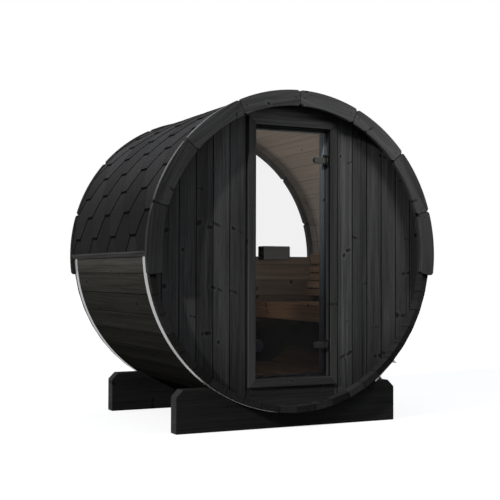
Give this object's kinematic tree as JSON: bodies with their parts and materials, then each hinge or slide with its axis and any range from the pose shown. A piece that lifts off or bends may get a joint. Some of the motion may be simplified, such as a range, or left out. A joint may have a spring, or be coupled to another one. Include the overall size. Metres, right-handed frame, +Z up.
{
  "type": "barrel sauna",
  "caption": "Outdoor sauna cabin built as a lying barrel of staves on two cradles, with hoops, arched end trim, a shingled roof, a hinged glass door and a half-moon rear window.",
  "frame": {"origin": "on the ground, under the middle of the barrel's length and width", "axes": "+Z up, front with the glass door towards -Y, +X to the right seen from the front"},
  "size_m": [2.0406, 1.56, 2.1199],
  "materials": {
    "stained_wood": "charcoal stain",
    "trim_wood": "charcoal stain",
    "cabin_wood": "oiled",
    "hoop_steel": "bright",
    "roof_shingle": "mineral granules",
    "clear_glass": "clear",
    "bronze_glass": "bronze tint",
    "black_metal": "satin",
    "black_plastic": "matt",
    "grey_plastic": "matt"
  },
  "bodies": {
    "barrel": {"front_cradle": "stained_wood", "rear_cradle": "stained_wood", "bottom_staves": "stained_wood", "lower_right_staves": "stained_wood", "right_staves": "stained_wood", "upper_right_staves": "stained_wood", "top_staves": "stained_wood", "upper_left_staves": "stained_wood", "left_staves": "stained_wood", "lower_left_staves": "stained_wood", "front_hoop": "hoop_steel", "rear_hoop": "hoop_steel", "front_hoop_bolt": "hoop_steel", "rear_hoop_bolt": "hoop_steel", "front_wall_left": "stained_wood", "front_wall_right": "stained_wood", "front_wall_head": "stained_wood", "front_wall_foot": "stained_wood", "rear_wall": "stained_wood", "rear_window_rail": "stained_wood", "rear_window": "clear_glass", "floor_bearers": "cabin_wood", "floor_deck": "cabin_wood", "bench_bearers": "cabin_wood", "bench_front": "cabin_wood", "bench_seat": "cabin_wood", "backrest_ribs": "cabin_wood", "backrest_slats": "cabin_wood", "control_box": "black_plastic", "air_vent": "grey_plastic", "door_jamb_left": "stained_wood", "door_jamb_right": "stained_wood", "door_head": "stained_wood", "door_sill": "stained_wood", "hinge_plates": "black_metal", "roof_left": "roof_shingle", "roof_right": "roof_shingle", "roof_ridge": "roof_shingle", "eaves_left": "stained_wood", "eaves_right": "stained_wood", "front_arch_left": "trim_wood", "front_arch_right": "trim_wood", "rear_arch_left": "trim_wood", "rear_arch_right": "trim_wood"},
    "door": {"door_glass": "bronze_glass", "hinge_clamps": "black_metal"}
  },
  "joints": [
    {"name": "door_hinge", "type": "hinge", "parent": "barrel", "child": "door", "pos_m": [0.258, -0.674, 1.106], "axis": [0, 0, 1], "range_deg": [0, 105]}
  ]
}
